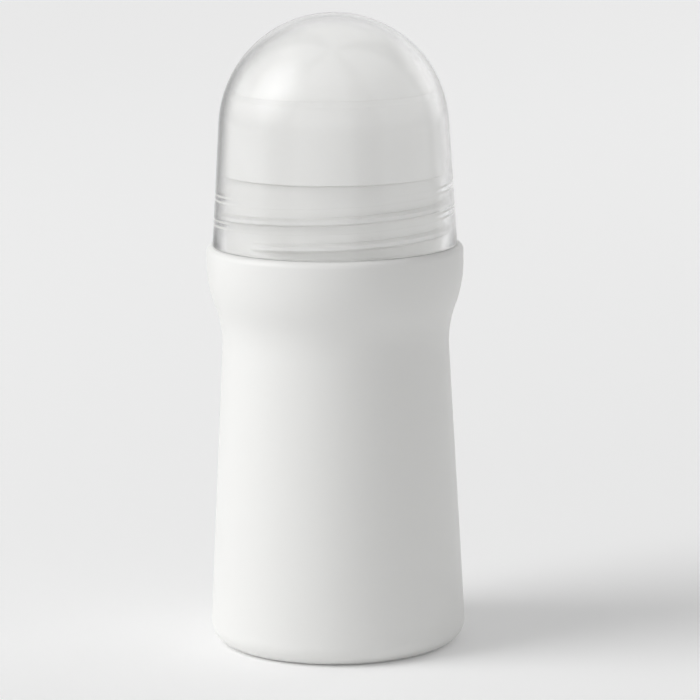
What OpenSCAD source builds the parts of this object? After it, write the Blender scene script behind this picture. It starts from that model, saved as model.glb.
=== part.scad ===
// Roll-on deodorant pack: a waisted bottle, a ball housing that snaps into its neck,
// a loose roller ball and a clear domed screw cap.
// Millimetres, +Z up, with the origin at the centre of the base.

/* [Ball] */
// Diameter of the roller ball
ball_d = 35.56; // [33:0.01:38]
// Wall of the hollow ball
ball_wall = 1.5; // [1:0.1:3]
// Running gap between the ball and its socket
ball_gap = 0.12; // [0.08:0.01:0.2]

/* [Ball housing] */
// Wall of the collar round the ball
collar_wall = 0.65; // [0.5:0.05:1]
// Height of the ball's centre above the top of the neck
ball_lift = 7.7; // [6.5:0.1:9]
// Height of the collar's rim above the ball's centre
rim_h = 5.1; // [4:0.1:6]
// Rise of the retaining lip above the rim
lip_h = 0.9; // [0.6:0.1:1.2]
// Flat edge on top of the lip
lip_land = 0.12; // [0.1:0.01:0.2]
// Wall of the cup under the ball
cup_wall = 1; // [0.8:0.1:1.5]
// Radius of the feed opening under the ball
feed_r = 9; // [7:0.5:10]
// Width of the seat ring round the feed opening
seat_w = 1.6; // [1.2:0.1:2.2]
// Number of feed slots in the cup
slot_count = 6; // [3:1:8]
// Width of a feed slot
slot_w = 2.4; // [1.5:0.1:3]
// Wall left between a feed slot and the plug
slot_margin = 1.4; // [1:0.1:2]
// Depth of the plug in the neck
plug_depth = 7.5; // [7:0.1:9]
// Wall of the plug
plug_wall = 0.8; // [0.6:0.1:1]
// Gap between the plug and the neck
plug_gap = 0.06; // [0.04:0.01:0.1]
// Lead-in bevel at the foot of the plug
plug_lead = 0.5; // [0.3:0.1:0.7]
// Radius of the snap bead on the plug
bead_r = 0.4; // [0.3:0.05:0.5]
// Depth of the snap bead below the top of the neck
bead_depth = 5; // [4:0.1:6]

/* [Bottle] */
// Height of the ledge that the cap stands on
ledge_h = 69; // [60:0.5:80]
// Radius of the body at its foot
base_r = 21.9; // [19:0.1:25]
// Rounding of the foot
foot_round = 3.5; // [2.5:0.1:5]
// Width of the flat ring that the bottle stands on
foot_ring_w = 3.4; // [2:0.1:5]
// Height of the hollow in the base
push_up = 1.5; // [0.8:0.1:2.5]
// Height of the waist
waist_h = 51.2; // [44:0.2:56]
// Depth of the waist below the shoulder's radius
waist_depth = 2.5; // [1:0.1:4]
// How far the shoulder stands out past the cap
shoulder_step = 1.05; // [0.8:0.05:1.6]
// Height of the upright band at the top of the shoulder
shoulder_band = 3; // [2.4:0.1:4]
// Rounding of the shoulder's edge
rim_round = 1.2; // [0.8:0.1:1.6]
// Wall of the bottle
bottle_wall = 1.2; // [0.8:0.1:1.6]
// Height of the neck above the ledge
neck_h = 12.3; // [11:0.1:14]
// Wall of the neck
neck_wall = 1.2; // [1:0.1:1.4]
// Rounding where the neck meets the ledge
neck_root = 0.5; // [0.3:0.1:0.8]

/* [Cap] */
// Wall of the cap
cap_wall = 0.8; // [0.6:0.05:1]
// Gap between the collar and the cap
cap_gap = 0.25; // [0.2:0.05:0.4]
// How much wider the cap's foot is than its dome
cap_flare = 1.25; // [0.8:0.05:1.6]
// How far the ball's centre stands above the dome's centre
ball_rise = 0.3; // [0:0.05:0.4]

/* [Hidden] */
$fn = 144;

// Steps in a long curve and in a small rounding
long_steps = 12;
dome_steps = 36;
round_steps = 8;
// Bevel on small moulded edges
edge = 0.25;

// The sizes that follow from the ball outwards
ball_r = ball_d/2;
socket_r = ball_r + ball_gap;
collar_r = socket_r + collar_wall;
cap_in_r = collar_r + cap_gap;
dome_r = cap_in_r + cap_wall;
cap_foot_r = dome_r + cap_flare;
shoulder_r = cap_foot_r + shoulder_step;
waist_r = shoulder_r - waist_depth;

// Heights from the base upwards
neck_z = ledge_h + neck_h;
ball_z = neck_z + ball_lift;
dome_z = ball_z - ball_rise;
rim_z = ball_z + rim_h;
lip_z = rim_z + lip_h;
bead_z = neck_z - bead_depth;
shoulder_z = ledge_h - shoulder_band;

// The plug reaches past the socket by its own wall, and the neck goes round it
plug_r = across(socket_r, ball_lift) + plug_wall;
bore_r = plug_r + plug_gap;
neck_r = bore_r + neck_wall;
groove_r = bead_r + plug_gap;

// Lean of the cap's side, from its foot up to the dome
cap_lean = tangent([cap_foot_r, ledge_h], [0, dome_z], dome_r, 1);

// The rounding of the foot, and the lean of the side above it
foot_c = [base_r - foot_round, foot_round];
side_lean = tangent([waist_r, waist_h], foot_c, foot_round, -1);

// Half the width of a circle of radius r at a height h from its centre
function across(r, h) = sqrt(r*r - h*h);

// Angle at which a line through point p touches a circle
function tangent(p, c, r, side) = atan2(p.y - c.y, p.x - c.x) + side*acos(r/norm(p - c));

// Points on an arc round c, from angle a to angle b
function arc(c, r, a, b, steps) =
    [for (i = [0:steps]) let (t = a + (b - a)*i/steps) c + r*[cos(t), sin(t)]];

// Direction of a point seen from a centre
function bearing(p, c) = atan2(p.y - c.y, p.x - c.x);

// The same points in the opposite order
function reverse(list) = [for (i = [len(list) - 1:-1:0]) list[i]];

// The waist and the shoulder are two arcs that meet in an S.
// It starts at the waist along the side and ends upright at the shoulder.
s_from = [waist_r, waist_h];
s_to = [shoulder_r, shoulder_z];
s_dir = [-sin(side_lean), cos(side_lean)];
s_up = [0, 1];
s_span = s_to - s_from;
s_along = s_span*(s_dir + s_up);
s_reach = s_span*s_span/(s_along + sqrt(s_along*s_along + 2*(1 - s_dir*s_up)*(s_span*s_span)));
s_mid = (s_from + s_to + s_reach*(s_dir - s_up))/2;
waist_out = [cos(side_lean), sin(side_lean)];
waist_arc_r = (s_mid - s_from)*(s_mid - s_from)/(2*waist_out*(s_mid - s_from));
waist_c = s_from + waist_arc_r*waist_out;
shoulder_arc_r = (s_to - s_mid)*(s_to - s_mid)/(2*(s_to.x - s_mid.x));
shoulder_c = s_to - [shoulder_arc_r, 0];
s_turn = bearing(s_mid, shoulder_c);

// The side of the bottle from the foot's rounding to the shoulder, set in by a wall
function side_points(inset) = concat(
    arc(foot_c, foot_round - inset, -90, side_lean, round_steps),
    arc(waist_c, waist_arc_r + inset, 180 + side_lean, 180 + s_turn, long_steps),
    arc(shoulder_c, shoulder_arc_r - inset, s_turn, 0, long_steps));

// The hollow of the base is a shallow dish inside the foot ring
dish_r = foot_c.x - foot_ring_w;
dish_arc_r = (dish_r*dish_r + push_up*push_up)/(2*push_up);
dish_c = [0, push_up - dish_arc_r];
dish_turn = bearing([dish_r, 0], dish_c);

module bottle() {
    inner_round = (shoulder_band - bottle_wall)/2;
    groove_turn = acos(plug_gap/groove_r);
    outside = concat(
        arc(dish_c, dish_arc_r, 90, dish_turn, round_steps),
        side_points(0),
        arc([shoulder_r - rim_round, ledge_h - rim_round], rim_round, 0, 90, round_steps),
        arc([neck_r + neck_root, ledge_h + neck_root], neck_root, -90, -180, round_steps),
        [[neck_r, neck_z - edge], [neck_r - edge, neck_z]]);
    inside = concat(
        [[bore_r + edge, neck_z], [bore_r, neck_z - edge]],
        arc([plug_r, bead_z], groove_r, groove_turn, -groove_turn, round_steps),
        [[bore_r, ledge_h - bottle_wall]],
        arc([shoulder_r - bottle_wall - inner_round, ledge_h - bottle_wall - inner_round],
            inner_round, 90, 0, round_steps),
        reverse(side_points(bottle_wall)),
        arc(dish_c, dish_arc_r + bottle_wall, dish_turn, 90, round_steps));
    color([0.96, 0.96, 0.95]) rotate_extrude() polygon(concat(outside, inside));
}

module ball_housing() {
    centre = [0, ball_z];
    cup_r = socket_r + cup_wall;
    plug_in_r = plug_r - plug_wall;
    plug_foot_z = neck_z - plug_depth;
    cup_start = -acos(feed_r/cup_r);
    cup_end = -acos(plug_in_r/cup_r);
    rim_turn = asin((rim_z - dome_z)/collar_r);
    collar_foot_r = collar_r/cos(cap_lean) + (dome_z - neck_z)*tan(cap_lean);
    lip_r = across(socket_r, lip_z - ball_z) + lip_land;
    profile = concat(
        arc(centre, cup_r, cup_start, cup_end, long_steps),
        [[plug_in_r, plug_foot_z], [plug_r - plug_lead, plug_foot_z],
         [plug_r, plug_foot_z + plug_lead]],
        arc([plug_r, bead_z], bead_r, -90, 90, round_steps),
        [[plug_r, neck_z], [collar_foot_r - edge, neck_z], [collar_foot_r, neck_z + edge]],
        arc([0, dome_z], collar_r, cap_lean, rim_turn, long_steps),
        [[lip_r, lip_z], [feed_r, lip_z]]);
    color([0.93, 0.94, 0.94]) difference() {
        rotate_extrude() polygon(profile);
        translate([0, 0, ball_z]) sphere(r = socket_r);
        feed_slots(plug_in_r - slot_margin);
    }
}

// Slots through the cup, spaced evenly round the seat ring
module feed_slots(outer_r) {
    inner_r = feed_r + seat_w;
    bottom = ball_z - socket_r - cup_wall;
    for (i = [0:slot_count - 1])
        rotate([0, 0, i*360/slot_count])
            translate([inner_r, -slot_w/2, bottom])
                cube([outer_r - inner_r, slot_w, neck_z - bottom]);
}

module roller_ball() {
    color([0.97, 0.97, 0.97]) translate([0, 0, ball_z]) difference() {
        sphere(r = ball_r);
        sphere(r = ball_r - ball_wall);
    }
}

module cap() {
    foot_in_r = cap_foot_r - cap_wall/cos(cap_lean);
    profile = concat(
        [[foot_in_r, ledge_h], [cap_foot_r - edge, ledge_h],
         [cap_foot_r - edge*tan(cap_lean), ledge_h + edge]],
        arc([0, dome_z], dome_r, cap_lean, 90, dome_steps),
        arc([0, dome_z], cap_in_r, 90, cap_lean, dome_steps));
    color([0.85, 0.9, 0.92, 0.45]) rotate_extrude() polygon(profile);
}

bottle();
ball_housing();
roller_ball();
cap();
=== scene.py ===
import math

import bmesh
import bpy
from mathutils import Matrix, Vector


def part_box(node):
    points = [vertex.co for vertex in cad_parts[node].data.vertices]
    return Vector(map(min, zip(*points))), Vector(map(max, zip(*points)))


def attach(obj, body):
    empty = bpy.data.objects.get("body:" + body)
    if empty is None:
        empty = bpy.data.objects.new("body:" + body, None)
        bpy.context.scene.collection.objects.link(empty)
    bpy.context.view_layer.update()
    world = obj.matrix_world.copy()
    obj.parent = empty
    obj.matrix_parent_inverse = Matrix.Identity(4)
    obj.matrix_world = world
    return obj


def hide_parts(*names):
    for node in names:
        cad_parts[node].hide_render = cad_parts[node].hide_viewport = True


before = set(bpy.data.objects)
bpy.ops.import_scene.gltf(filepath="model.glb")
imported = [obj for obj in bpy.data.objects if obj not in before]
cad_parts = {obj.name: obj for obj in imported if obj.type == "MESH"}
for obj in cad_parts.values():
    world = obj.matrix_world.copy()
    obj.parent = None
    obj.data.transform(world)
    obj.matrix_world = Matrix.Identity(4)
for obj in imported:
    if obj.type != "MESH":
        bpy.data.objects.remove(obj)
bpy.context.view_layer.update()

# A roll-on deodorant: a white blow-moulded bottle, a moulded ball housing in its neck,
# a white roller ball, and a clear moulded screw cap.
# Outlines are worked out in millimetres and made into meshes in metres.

MM = 0.001


# Sizes that the frame gives
def heights(name):
    """The lowest and the highest point of a CAD node, in millimetres"""
    low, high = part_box(name)
    return low.z / MM, high.z / MM


BALL_FOOT, BALL_TOP = heights("roller_ball")
LEDGE_Z, CAP_TOP = heights("cap")
NECK_Z = heights("bottle")[1]
PLUG_FOOT, LIP_Z = heights("ball_housing")
BALL_R = (BALL_TOP - BALL_FOOT) / 2
BALL_Z = (BALL_TOP + BALL_FOOT) / 2

# Walls and gaps of the mouldings, in millimetres
BALL_WALL = 1.5
BALL_GAP = 0.12
COLLAR_WALL = 0.65
LIP_H = 0.9
LIP_LAND = 0.12
CUP_WALL = 1.0
FEED_R = 9.0
SEAT_W = 1.6
SLOT_COUNT = 6
SLOT_W = 2.4
SLOT_MARGIN = 1.4
PLUG_WALL = 0.8
PLUG_GAP = 0.06
PLUG_LEAD = 0.5
BEAD_R = 0.4
BEAD_DEPTH = 5.0
CAP_WALL = 0.8
CAP_GAP = 0.25
CAP_FLARE = 1.25
SHOULDER_STEP = 1.05
SHOULDER_BAND = 3.0
RIM_ROUND = 1.2
BOTTLE_WALL = 1.2
NECK_WALL = 1.2
NECK_ROOT = 0.5
WAIST_H = 51.2
WAIST_DEPTH = 2.5
BASE_R = 21.9
FOOT_ROUND = 3.5
FOOT_RING_W = 3.4
PUSH_UP = 1.5
EDGE = 0.25

# Small moulded details: roundings, how far the cap's foot is pressed into the ledge,
# and the lead-in inside the cap's foot with its slope
RIM_EDGE = 0.18
LIP_EDGE = 0.05
CAP_EDGE = 0.05
CAP_SINK = 0.02
LEAD_IN_H = 0.75
LEAD_IN_W = 0.08
LEAD_IN_SLOPE = 3

# The screw thread, six turns to the inch, right-handed.
# Its section is a list of shares of the ridge's height, and places up and down from its middle.
# Each thread has its starting height, its starting angle in degrees and its number of turns,
# and its ends fade down to a least share of its height.
PITCH = 25.4 / 6
RIDGE = [(0, -0.72), (0, 0.72), (0.6, 0.66), (1, 0.28), (1, -0.28), (0.6, -0.66)]
RIDGE_ROOT = 0.3
THREAD_FADE = 35.0
RIDGE_LEAST = 0.12
NECK_CREST_R = 19.55
NECK_THREAD = (70.45, 210.0, 2.0)
CAP_RIDGE_H = 0.22
CAP_THREAD = (71.2, 20.0, 2.0)

# How steeply a flank of the cap's thread faces up or down, from least to most
FLANK_SLOPE = (0.3, 0.9)

# Fineness of the meshes: steps in a full turn, the greatest angle that is shaded smooth,
# and the distance within which points are merged
ROUND_STEPS = 256
SHARP = math.radians(20)
MERGE = 0.002

# Sizes that follow from those above
SOCKET_R = BALL_R + BALL_GAP
COLLAR_R = SOCKET_R + COLLAR_WALL
CAP_IN_R = COLLAR_R + CAP_GAP
DOME_R = CAP_IN_R + CAP_WALL
DOME_Z = CAP_TOP - DOME_R
CAP_FOOT_R = DOME_R + CAP_FLARE
SHOULDER_R = CAP_FOOT_R + SHOULDER_STEP
WAIST_R = SHOULDER_R - WAIST_DEPTH
RIM_Z = LIP_Z - LIP_H
PLUG_R = math.sqrt(SOCKET_R**2 - (BALL_Z - NECK_Z) ** 2) + PLUG_WALL
BORE_R = PLUG_R + PLUG_GAP
NECK_R = BORE_R + NECK_WALL
BEAD_Z = NECK_Z - BEAD_DEPTH

# The studio's brightness: of the even light on the object, of the floor's own glow near and far,
# and of the glow that the inner pieces see
STUDIO_LIGHT = 0.42
FLOOR_GLOW = (0.09, 0.33)
INNER_GLOW = 0.3

# The floor, in metres from the object: where its glow is full, where it turns dim between the backdrops,
# and its half width
GLOW_REACH = 1.3
DIM_FROM, DIM_TO = 0.2, 0.35
FLOOR_SIZE = 4

# The backdrops: their number, how far they are turned in degrees, and the brightness between them
BACKDROP_COUNT = 4
BACKDROP_TURN = 11
BACKDROP_GAP = 0.55

# Brightness of the studio's walls, by the sine of their angle above the horizon
WALL_LEVELS = ((0.0, 0.8), (0.09, 0.8), (0.14, 1.0), (0.33, 1.0), (0.42, 0.75), (0.68, 0.75),
               (0.8, 1.0))

# Places in metres and angles in degrees: the camera, fitted to the outline in the photo,
# and the point that the lamps face
CAMERA_PLACE = (0, -0.6296, 0.1653)
CAMERA_TARGET = (0.00242, 0, 0.05047)
CAMERA_ANGLE = 10.699
CAMERA_ROLL = -0.48
LAMP_TARGET = (0, 0, 0.055)


# Outlines are lists of (radius, height) points
def arc(centre, radius, start, end, steps):
    """Points on an arc, from one angle to another in degrees"""
    turns = [math.radians(start + (end - start) * i / steps) for i in range(steps + 1)]
    return [(centre[0] + radius * math.cos(turn), centre[1] + radius * math.sin(turn))
            for turn in turns]


def bearing(point, centre):
    """Direction of a point seen from a centre, in degrees"""
    return math.degrees(math.atan2(point[1] - centre[1], point[0] - centre[0]))


def tangent(point, centre, radius, side):
    """Angle at which a line through a point touches a circle"""
    reach = math.degrees(math.acos(radius / math.dist(point, centre)))
    return bearing(point, centre) + side * reach


def rounded(before, corner, after, radius, steps=6):
    """Points on the arc that rounds a corner of an outline"""
    corner = Vector(corner)
    back, ahead = (Vector(before) - corner).normalized(), (Vector(after) - corner).normalized()
    half = back.angle(ahead) / 2
    centre = corner + (back + ahead).normalized() * radius / math.sin(half)
    start = bearing(corner + back * radius / math.tan(half), centre)
    end = bearing(corner + ahead * radius / math.tan(half), centre)
    return arc(centre, radius, start, start + (end - start + 180) % 360 - 180, steps)


CAP_LEAN = tangent((CAP_FOOT_R, LEDGE_Z), (0, DOME_Z), DOME_R, 1)


def cap_side(radius, height):
    """Radius of the leaning side that a dome of this radius runs down into"""
    lean = math.radians(CAP_LEAN)
    return radius / math.cos(lean) + (DOME_Z - height) * math.tan(lean)


def side_outline(inset):
    """The side of the bottle from its foot to its shoulder, set in by a wall"""
    foot = (BASE_R - FOOT_ROUND, FOOT_ROUND)
    lean = tangent((WAIST_R, WAIST_H), foot, FOOT_ROUND, -1)
    start = Vector((WAIST_R, WAIST_H))
    end = Vector((SHOULDER_R, LEDGE_Z - SHOULDER_BAND))
    out = Vector((math.cos(math.radians(lean)), math.sin(math.radians(lean))))
    along = Vector((-out.y, out.x))
    up = Vector((0, 1))
    span = end - start
    ahead = span.dot(along + up)
    reach = span.length_squared / (
        ahead + math.sqrt(ahead**2 + 2 * (1 - along.dot(up)) * span.length_squared))
    middle = (start + end + reach * (along - up)) / 2
    waist_arc = (middle - start).length_squared / (2 * out.dot(middle - start))
    waist = start + waist_arc * out
    shoulder_arc = (end - middle).length_squared / (2 * (end.x - middle.x))
    shoulder = end - Vector((shoulder_arc, 0))
    turn = bearing(middle, shoulder)
    return (arc(foot, FOOT_ROUND - inset, -90, lean, 16)
            + arc(waist, waist_arc + inset, 180 + lean, 180 + turn, 24)[:-1]
            + arc(shoulder, shoulder_arc - inset, turn, 0, 24))


# Making meshes
def lathe(outline):
    """Spins a closed outline round the axis into a solid"""
    shape = bmesh.new()
    corners = [shape.verts.new((radius * MM, 0, height * MM)) for radius, height in outline]
    sides = [shape.edges.new(ends) for ends in zip(corners, corners[1:] + corners[:1])
             if max(ends[0].co.x, ends[1].co.x) > 0]
    bmesh.ops.spin(shape, geom=corners + sides, cent=(0, 0, 0), axis=(0, 0, 1), angle=math.tau,
                   steps=ROUND_STEPS, use_merge=True, use_duplicate=False)
    tidy(shape)
    return shape


def tidy(shape):
    """Merges doubles and turns the faces outwards"""
    bmesh.ops.remove_doubles(shape, verts=shape.verts, dist=MERGE * MM)
    bmesh.ops.recalc_face_normals(shape, faces=shape.faces)


def combine(shape, other, how):
    """Joins a second shape to the first, or cuts it out, and gives the two as one shape"""
    held = []
    for part in (shape, other):
        mesh = bpy.data.meshes.new("blank")
        part.to_mesh(mesh)
        part.free()
        held.append(bpy.data.objects.new("blank", mesh))
        bpy.context.scene.collection.objects.link(held[-1])
    change = held[0].modifiers.new("combine", "BOOLEAN")
    change.object, change.operation, change.solver = held[1], how, "EXACT"
    made = bmesh.new()
    made.from_object(held[0], bpy.context.evaluated_depsgraph_get())
    for blank in held:
        bpy.data.objects.remove(blank)
    tidy(made)
    return made


def smooth_step(value):
    """Eases a share from 0 to 1"""
    share = min(1, max(0, value))
    return share * share * (3 - 2 * share)


def thread_ridge(wall, root, crest, thread):
    """The ridge of a screw thread: its section is spun upwards, then drawn from the wall to its crest"""
    start, start_turn, turns = thread
    shape = bmesh.new()
    section = [shape.verts.new((1 + share, 0, place)) for share, place in RIDGE]
    sides = [shape.edges.new(ends) for ends in zip(section, section[1:] + section[:1])]
    bmesh.ops.spin(shape, geom=section + sides, cent=(0, 0, 0), axis=(0, 0, 1),
                   dvec=(0, 0, PITCH / ROUND_STEPS), angle=turns * math.tau,
                   steps=round(turns * ROUND_STEPS), use_merge=False, use_duplicate=False)
    bmesh.ops.holes_fill(shape, edges=[side for side in shape.edges if side.is_boundary], sides=0)
    for point in shape.verts:
        share = math.hypot(point.co.x, point.co.y) - 1
        part = math.atan2(point.co.y, point.co.x) % math.tau / math.tau
        along = round(point.co.z / PITCH - part) + part
        rise = max(RIDGE_LEAST, smooth_step(min(along, turns - along) * 360 / THREAD_FADE))
        height = start + point.co.z
        foot = wall(height) + root
        radius = foot + (crest(height) - foot) * share * rise
        turn = math.radians(start_turn) + along * math.tau
        point.co = Vector((radius * math.cos(turn), radius * math.sin(turn), height)) * MM
    bmesh.ops.recalc_face_normals(shape, faces=shape.faces)
    return shape


def piece(name, shape, finishes, body, node):
    """Makes the finished shape into an object that stands for a CAD node"""
    for face in shape.faces:
        face.smooth = True
    for side in shape.edges:
        side.smooth = side.calc_face_angle(0) < SHARP
    mesh = bpy.data.meshes.new(name)
    shape.to_mesh(mesh)
    shape.free()
    for finish in finishes:
        mesh.materials.append(finish)
    made = bpy.data.objects.new(name, mesh)
    bpy.context.scene.collection.objects.link(made)
    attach(made, body)
    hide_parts(node)


# Finishes
def linear(hex_colour):
    """A linear colour from an sRGB hex value"""
    shares = [int(hex_colour[i:i + 2], 16) / 255 for i in (1, 3, 5)]
    return tuple(c / 12.92 if c <= 0.04045 else ((c + 0.055) / 1.055) ** 2.4 for c in shares) + (1,)


def add(tree, kind, values=None, links=None, **settings):
    """Adds a node, with its settings, the values of its sockets and the links into them"""
    made = tree.nodes.new(kind)
    for key, value in settings.items():
        setattr(made, key, value)
    for key, value in (values or {}).items():
        made.inputs[key].default_value = value
    for key, source in (links or {}).items():
        tree.links.new(source, made.inputs[key])
    return made


def new_finish(name):
    """An empty material and its node tree"""
    finish = bpy.data.materials.new(name)
    finish.use_nodes = True
    finish.node_tree.nodes.clear()
    return finish, finish.node_tree


def per_metre(size):
    """Scale of a pattern whose grains are this size in millimetres"""
    return 1 / (size * MM)


def white_hdpe():
    """Blow-moulded high-density polyethylene: white and satin, with the mould's grain and parting line"""
    finish, tree = new_finish("blow_moulded_white_hdpe")
    place = add(tree, "ShaderNodeTexCoord").outputs["Object"]
    grain = add(tree, "ShaderNodeTexNoise", {"Scale": per_metre(0.35), "Detail": 3.0},
                {"Vector": place})
    drift = add(tree, "ShaderNodeTexNoise", {"Scale": per_metre(14), "Detail": 2.0}, {"Vector": place})
    gloss = add(tree, "ShaderNodeMapRange", {"To Min": 0.38, "To Max": 0.46},
                {"Value": drift.outputs["Fac"]})
    # The two halves of the mould meet at the middle of the bottle's sides and across its base
    across = add(tree, "ShaderNodeSeparateXYZ", None, {"Vector": place}).outputs["Y"]
    off = add(tree, "ShaderNodeMath", None, {0: across}, operation="ABSOLUTE").outputs["Value"]
    line = add(tree, "ShaderNodeMapRange", {"From Max": 0.13 * MM, "To Min": 1.0, "To Max": 0.0},
               {"Value": off}, interpolation_type="SMOOTHSTEP").outputs["Result"]
    fine = add(tree, "ShaderNodeBump", {"Strength": 0.06, "Distance": 0.05 * MM},
               {"Height": grain.outputs["Fac"]}).outputs["Normal"]
    parting = add(tree, "ShaderNodeBump", {"Strength": 0.5, "Distance": 0.05 * MM},
                  {"Height": line, "Normal": fine}).outputs["Normal"]
    skin = add(tree, "ShaderNodeBsdfPrincipled",
               {"Base Color": linear("#F3F3F1"), "IOR": 1.54, "Specular IOR Level": 0.5},
               {"Roughness": gloss.outputs["Result"], "Normal": parting})
    add(tree, "ShaderNodeOutputMaterial", None, {"Surface": skin.outputs["BSDF"]})
    return finish


def white_pp(name, colour, roughness):
    """Injection-moulded polypropylene: bright white and smooth, with a slight unevenness in its gloss"""
    finish, tree = new_finish(name)
    place = add(tree, "ShaderNodeTexCoord").outputs["Object"]
    drift = add(tree, "ShaderNodeTexNoise", {"Scale": per_metre(6), "Detail": 2.0}, {"Vector": place})
    gloss = add(tree, "ShaderNodeMapRange", {"To Min": roughness - 0.03, "To Max": roughness + 0.03},
                {"Value": drift.outputs["Fac"]})
    skin = add(tree, "ShaderNodeBsdfPrincipled",
               {"Base Color": linear(colour), "IOR": 1.49}, {"Roughness": gloss.outputs["Result"]})
    add(tree, "ShaderNodeOutputMaterial", None, {"Surface": skin.outputs["BSDF"]})
    return finish


def clear_pp(name, ior):
    """Clarified polypropylene: clear and softly glossy; lamps shine through it.
    With a lower index it bends light less, which keeps the thread's flanks from turning black."""
    finish, tree = new_finish(name)
    skin = add(tree, "ShaderNodeBsdfPrincipled",
               {"Base Color": linear("#FFFFFF"), "IOR": ior, "Roughness": 0.12,
                "Transmission Weight": 1.0})
    through = add(tree, "ShaderNodeBsdfTransparent", {"Color": (0.76, 0.76, 0.76, 1)})
    shadow = add(tree, "ShaderNodeLightPath").outputs["Is Shadow Ray"]
    both = add(tree, "ShaderNodeMixShader", None,
               {0: shadow, 1: skin.outputs["BSDF"], 2: through.outputs["BSDF"]})
    add(tree, "ShaderNodeOutputMaterial", None, {"Surface": both.outputs["Shader"]})
    return finish


# The pieces
def make_bottle():
    """The hollow bottle with its threaded neck"""
    dish_r = BASE_R - FOOT_ROUND - FOOT_RING_W
    dish_arc = (dish_r**2 + PUSH_UP**2) / (2 * PUSH_UP)
    dish = (0, PUSH_UP - dish_arc)
    dish_turn = bearing((dish_r, 0), dish)
    inner = (SHOULDER_BAND - BOTTLE_WALL) / 2
    inner_corner = (SHOULDER_R - BOTTLE_WALL - inner, LEDGE_Z - BOTTLE_WALL - inner)
    groove_r = BEAD_R + PLUG_GAP
    groove_turn = math.degrees(math.acos(PLUG_GAP / groove_r))
    rim = (SHOULDER_R - RIM_ROUND, LEDGE_Z - RIM_ROUND)
    root = (NECK_R + NECK_ROOT, LEDGE_Z + NECK_ROOT)
    outside = (arc(dish, dish_arc, 90, dish_turn, 16) + side_outline(0)
               + arc(rim, RIM_ROUND, 0, 90, 14) + arc(root, NECK_ROOT, -90, -180, 8)
               + arc((NECK_R - EDGE, NECK_Z - EDGE), EDGE, 0, 90, 6))
    inside = (arc((BORE_R + EDGE, NECK_Z - EDGE), EDGE, 90, 180, 4)
              + arc((PLUG_R, BEAD_Z), groove_r, groove_turn, -groove_turn, 8)
              + [(BORE_R, LEDGE_Z - BOTTLE_WALL)]
              + arc(inner_corner, inner, 90, 0, 8)
              + side_outline(BOTTLE_WALL)[::-1]
              + arc(dish, dish_arc + BOTTLE_WALL, dish_turn, 90, 12))
    ridge = thread_ridge(lambda height: NECK_R, -RIDGE_ROOT, lambda height: NECK_CREST_R, NECK_THREAD)
    shape = combine(lathe(outside + inside), ridge, "UNION")
    piece("moulded_bottle", shape, [white_hdpe()], "bottle", "bottle")


def make_housing():
    """The collar, lip, socket, cup and plug that hold the ball"""
    centre = (0, BALL_Z)
    cup_r = SOCKET_R + CUP_WALL
    plug_in = PLUG_R - PLUG_WALL
    cup_start = -math.degrees(math.acos(FEED_R / cup_r))
    cup_end = -math.degrees(math.acos(plug_in / cup_r))
    rim_turn = math.degrees(math.asin((RIM_Z - DOME_Z) / COLLAR_R))
    foot_r = cap_side(COLLAR_R, NECK_Z)
    lip_r = math.sqrt(SOCKET_R**2 - (LIP_Z - BALL_Z) ** 2)
    lip_turn = math.degrees(math.asin((LIP_Z - BALL_Z) / SOCKET_R))
    feed_turn = -math.degrees(math.acos(FEED_R / SOCKET_R))
    collar = arc((0, DOME_Z), COLLAR_R, CAP_LEAN, rim_turn, 24)
    lip = (lip_r + LIP_LAND, LIP_Z)
    outline = (arc(centre, cup_r, cup_start, cup_end, 12)
               + [(plug_in, PLUG_FOOT), (PLUG_R - PLUG_LEAD, PLUG_FOOT), (PLUG_R, PLUG_FOOT + PLUG_LEAD)]
               + arc((PLUG_R, BEAD_Z), BEAD_R, -90, 90, 8)
               + [(PLUG_R, NECK_Z)]
               + rounded((PLUG_R, NECK_Z), (foot_r, NECK_Z), collar[0], EDGE)
               + collar[:-2]
               + rounded(collar[-2], collar[-1], lip, RIM_EDGE)
               + rounded(collar[-1], lip, (lip_r, LIP_Z), LIP_EDGE, 3)
               + arc(centre, SOCKET_R, lip_turn, feed_turn, 40))
    inner = FEED_R + SEAT_W
    outer = plug_in - SLOT_MARGIN
    slots = bmesh.new()
    for i in range(SLOT_COUNT):
        place = Vector(((inner + outer) / 2, 0, (BALL_Z - cup_r + NECK_Z) / 2)) * MM
        size = Vector((outer - inner, SLOT_W, NECK_Z - BALL_Z + cup_r)) * MM
        bmesh.ops.create_cube(slots, size=1, matrix=(
            Matrix.Rotation(math.tau * i / SLOT_COUNT, 4, "Z") @ Matrix.Translation(place)
            @ Matrix.Diagonal((*size, 1))))
    shape = combine(lathe(outline), slots, "DIFFERENCE")
    finish = white_pp("moulded_white_polypropylene", "#F9F9F7", 0.3)
    piece("ball_collar", shape, [finish], "bottle", "ball_housing")


def make_ball():
    """The hollow ground ball"""
    shape = bmesh.new()
    bmesh.ops.create_icosphere(shape, subdivisions=5, radius=(BALL_R - BALL_WALL) * MM)
    bmesh.ops.reverse_faces(shape, faces=shape.faces)
    bmesh.ops.create_icosphere(shape, subdivisions=6, radius=BALL_R * MM)
    bmesh.ops.translate(shape, vec=(0, 0, BALL_Z * MM), verts=shape.verts)
    finish = white_pp("ground_white_polypropylene", "#FBFBF9", 0.35)
    piece("polished_ball", shape, [finish], "ball", "roller_ball")


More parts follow.
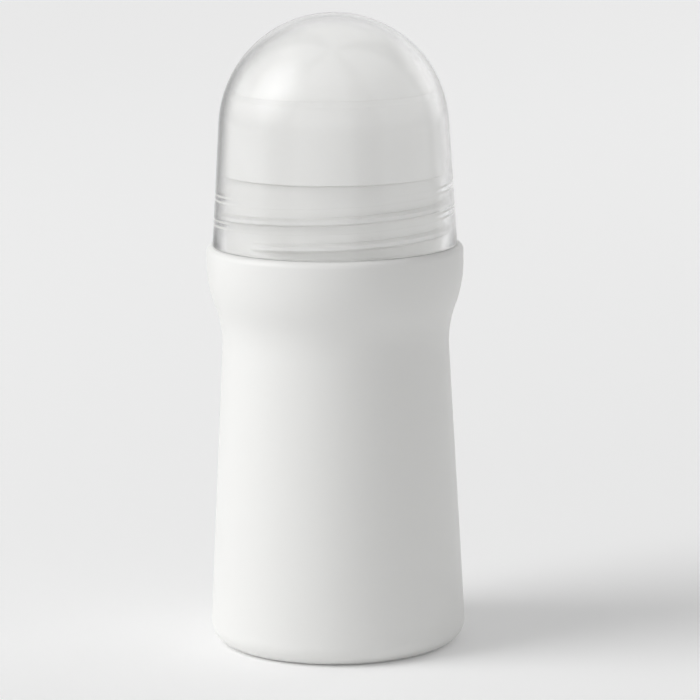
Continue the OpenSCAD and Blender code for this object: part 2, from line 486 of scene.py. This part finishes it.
def make_cap():
    """The clear cap with the thread inside its skirt"""
    foot = LEDGE_Z - CAP_SINK
    step = LEDGE_Z + LEAD_IN_H
    step_in = cap_side(CAP_IN_R, step)
    foot_in = cap_side(CAP_IN_R, foot) + LEAD_IN_W
    foot_out = cap_side(DOME_R, foot)
    outside = (rounded((foot_in, foot), (foot_out, foot), (CAP_FOOT_R, LEDGE_Z + 1), CAP_EDGE)
               + arc((0, DOME_Z), DOME_R, CAP_LEAN, 90, 60))
    inside = (arc((0, DOME_Z), CAP_IN_R, 90, CAP_LEAN, 60)
              + [(step_in, step), (step_in + LEAD_IN_W, step - LEAD_IN_SLOPE * LEAD_IN_W),
                 (foot_in, foot + CAP_EDGE), (foot_in + CAP_EDGE, foot)])
    ridge = thread_ridge(lambda height: cap_side(CAP_IN_R, height), RIDGE_ROOT,
                         lambda height: cap_side(CAP_IN_R, height) - CAP_RIDGE_H, CAP_THREAD)
    shape = combine(lathe(outside + inside), ridge, "UNION")
    # The sloping sides of the ridge are the only such faces between the foot and the dome
    for face in shape.faces:
        place = face.calc_center_median() / MM
        if step < place.z < NECK_Z and FLANK_SLOPE[0] < abs(face.normal.z) < FLANK_SLOPE[1]:
            face.material_index = 1
    clear = clear_pp("clear_moulded_polypropylene", 1.49)
    # Chosen lower than the real plastic's index
    flank = clear_pp("clear_thread_flank_polypropylene", 1.17)
    piece("clear_cap", shape, [clear, flank], "cap", "cap")


make_bottle()
make_housing()
make_ball()
make_cap()


# The floor, the light and the camera
def seen_in_gloss(tree):
    """1 for what gloss and glass show, and 0 for the rest"""
    paths = add(tree, "ShaderNodeLightPath").outputs
    return add(tree, "ShaderNodeMath", None,
               {0: paths["Is Glossy Ray"], 1: paths["Is Transmission Ray"]},
               operation="MAXIMUM").outputs["Value"]


def seen_directly(tree):
    """1 for the camera's rays and for what gloss and glass show, 0 for light on the object"""
    paths = add(tree, "ShaderNodeLightPath").outputs
    return add(tree, "ShaderNodeMath", None,
               {0: paths["Is Camera Ray"], 1: seen_in_gloss(tree)}, operation="MAXIMUM").outputs["Value"]


def seen_clearly(tree):
    """1 for what gloss and glass show before any matt surface is in between, and 0 for the rest"""
    depth = add(tree, "ShaderNodeLightPath").outputs["Diffuse Depth"]
    first = add(tree, "ShaderNodeMath", {1: 0.5}, {0: depth}, operation="LESS_THAN").outputs["Value"]
    return add(tree, "ShaderNodeMath", None, {0: first, 1: seen_in_gloss(tree)},
               operation="MULTIPLY").outputs["Value"]


def backdrops(tree, place):
    """Pale backdrops stand round the object, and the gaps between them are dim"""
    parts = add(tree, "ShaderNodeSeparateXYZ", None, {"Vector": place}).outputs
    turn = add(tree, "ShaderNodeMath", None, {0: parts["X"], 1: parts["Y"]}, operation="ARCTAN2")
    turns = add(tree, "ShaderNodeMath",
                {1: BACKDROP_COUNT, 2: -math.radians(BACKDROP_COUNT * BACKDROP_TURN)},
                {0: turn.outputs["Value"]}, operation="MULTIPLY_ADD")
    wave = add(tree, "ShaderNodeMath", None, {0: turns.outputs["Value"]}, operation="COSINE")
    return add(tree, "ShaderNodeMapRange", {"From Min": -0.9, "From Max": -0.1, "To Min": BACKDROP_GAP},
               {"Value": wave.outputs["Value"]}, interpolation_type="SMOOTHSTEP").outputs["Result"]


def make_floor():
    """A plain pale floor that reaches past the view"""
    shape = bmesh.new()
    bmesh.ops.create_grid(shape, x_segments=1, y_segments=1, size=FLOOR_SIZE)
    mesh = bpy.data.meshes.new("floor")
    shape.to_mesh(mesh)
    shape.free()
    finish, tree = new_finish("matt_pale_floor")
    skin = add(tree, "ShaderNodeBsdfDiffuse", {"Color": linear("#F6F6F6")})
    place = add(tree, "ShaderNodeTexCoord").outputs["Object"]
    away = add(tree, "ShaderNodeVectorMath", None, {0: place}, operation="LENGTH").outputs["Value"]
    lift = add(tree, "ShaderNodeMapRange",
               {"From Max": GLOW_REACH, "To Min": FLOOR_GLOW[0], "To Max": FLOOR_GLOW[1]},
               {"Value": away}).outputs["Result"]
    shown = add(tree, "ShaderNodeMath", None, {0: lift, 1: seen_directly(tree)}, operation="MULTIPLY")
    # Through the clear cap the inner pieces get the light of a floor that is nearly white
    inner = add(tree, "ShaderNodeMath", None, {0: seen_in_gloss(tree), 1: seen_clearly(tree)},
                operation="SUBTRACT").outputs["Value"]
    shown = add(tree, "ShaderNodeMath", {1: INNER_GLOW}, {0: inner, 2: shown.outputs["Value"]},
                operation="MULTIPLY_ADD")
    glow = add(tree, "ShaderNodeEmission", {"Color": (1, 1, 1, 1)},
               {"Strength": shown.outputs["Value"]})
    lit = add(tree, "ShaderNodeAddShader", None, {0: skin.outputs["BSDF"], 1: glow.outputs["Emission"]})
    gap = add(tree, "ShaderNodeMath", {0: 1.0}, {1: backdrops(tree, place)}, operation="SUBTRACT")
    far = add(tree, "ShaderNodeMapRange", {"From Min": DIM_FROM, "From Max": DIM_TO},
              {"Value": away}).outputs["Result"]
    dim = add(tree, "ShaderNodeMath", None, {0: gap.outputs["Value"], 1: far}, operation="MULTIPLY")
    dim = add(tree, "ShaderNodeMath", None, {0: dim.outputs["Value"], 1: seen_clearly(tree)},
              operation="MULTIPLY")
    dark = add(tree, "ShaderNodeBsdfDiffuse", {"Color": (0, 0, 0, 1)})
    both = add(tree, "ShaderNodeMixShader", None,
               {0: dim.outputs["Value"], 1: lit.outputs["Shader"], 2: dark.outputs["BSDF"]})
    add(tree, "ShaderNodeOutputMaterial", None, {"Surface": both.outputs["Shader"]})
    mesh.materials.append(finish)
    floor = bpy.data.objects.new("floor", mesh)
    bpy.context.scene.collection.objects.link(floor)


def make_world():
    """An even pale light, and what gloss and glass show of the studio"""
    world = bpy.data.worlds.new("studio")
    world.use_nodes = True
    tree = world.node_tree
    tree.nodes.clear()
    place = add(tree, "ShaderNodeTexCoord").outputs["Generated"]
    height = add(tree, "ShaderNodeSeparateXYZ", None, {"Vector": place}).outputs["Z"]
    walls = add(tree, "ShaderNodeValToRGB", None, {"Fac": height})
    stops = walls.color_ramp.elements
    stops.remove(stops[1])
    for spot, share in WALL_LEVELS:
        stop = stops[0] if spot == 0 else stops.new(spot)
        stop.color = (share, share, share, 1)
    shown = add(tree, "ShaderNodeMath", None,
                {0: walls.outputs["Color"], 1: backdrops(tree, place)}, operation="MULTIPLY")
    shown = add(tree, "ShaderNodeMix", {2: 1.0}, {0: seen_clearly(tree), 3: shown.outputs["Value"]})
    light = add(tree, "ShaderNodeBackground", {"Color": (1, 1, 1, 1), "Strength": STUDIO_LIGHT})
    view = add(tree, "ShaderNodeBackground", {"Color": (1, 1, 1, 1)},
               {"Strength": shown.outputs["Result"]})
    both = add(tree, "ShaderNodeMixShader", None,
               {0: seen_directly(tree), 1: light.outputs["Background"], 2: view.outputs["Background"]})
    add(tree, "ShaderNodeOutputWorld", None, {"Surface": both.outputs["Shader"]})
    bpy.context.scene.world = world


def aim(thing, target, roll=0.0):
    """Turns a lamp or the camera towards a point"""
    direction = Vector(target) - thing.location
    turn = direction.to_track_quat("-Z", "Y").to_matrix()
    thing.rotation_euler = (turn @ Matrix.Rotation(roll, 3, "Z")).to_euler()


def make_lamp(name, place, width, height, power, spread, in_gloss, through_glass):
    """A softbox that faces the object"""
    lamp = bpy.data.lights.new(name, "AREA")
    lamp.shape, lamp.size, lamp.size_y = "RECTANGLE", width, height
    lamp.energy, lamp.spread = power, math.radians(spread)
    held = bpy.data.objects.new(name, lamp)
    held.location = place
    held.visible_glossy, held.visible_transmission = in_gloss, through_glass
    aim(held, LAMP_TARGET)
    bpy.context.scene.collection.objects.link(held)


def make_camera():
    """The camera of the photo: a long lens, from a little above"""
    lens = bpy.data.cameras.new("camera")
    lens.sensor_fit = "HORIZONTAL"
    lens.angle = math.radians(CAMERA_ANGLE)
    held = bpy.data.objects.new("camera", lens)
    held.location = CAMERA_PLACE
    aim(held, CAMERA_TARGET, math.radians(CAMERA_ROLL))
    bpy.context.scene.collection.objects.link(held)
    bpy.context.scene.camera = held


make_floor()
make_world()
# Gloss and glass don't show the key, the sheen gives the soft highlight, and the edge is behind
make_lamp("key", place=(-1.263, -0.362, 0.95), width=0.9, height=1.5, power=10.4, spread=180,
          in_gloss=False, through_glass=False)
make_lamp("sheen", place=(-1.25, -0.358, 0.94), width=1.6, height=2.2, power=2.35, spread=60,
          in_gloss=True, through_glass=True)
make_lamp("edge", place=(1.0, 0.85, 0.45), width=0.6, height=0.9, power=1.8, spread=180,
          in_gloss=False, through_glass=True)
make_camera()
bpy.context.scene.view_settings.view_transform = "Standard"
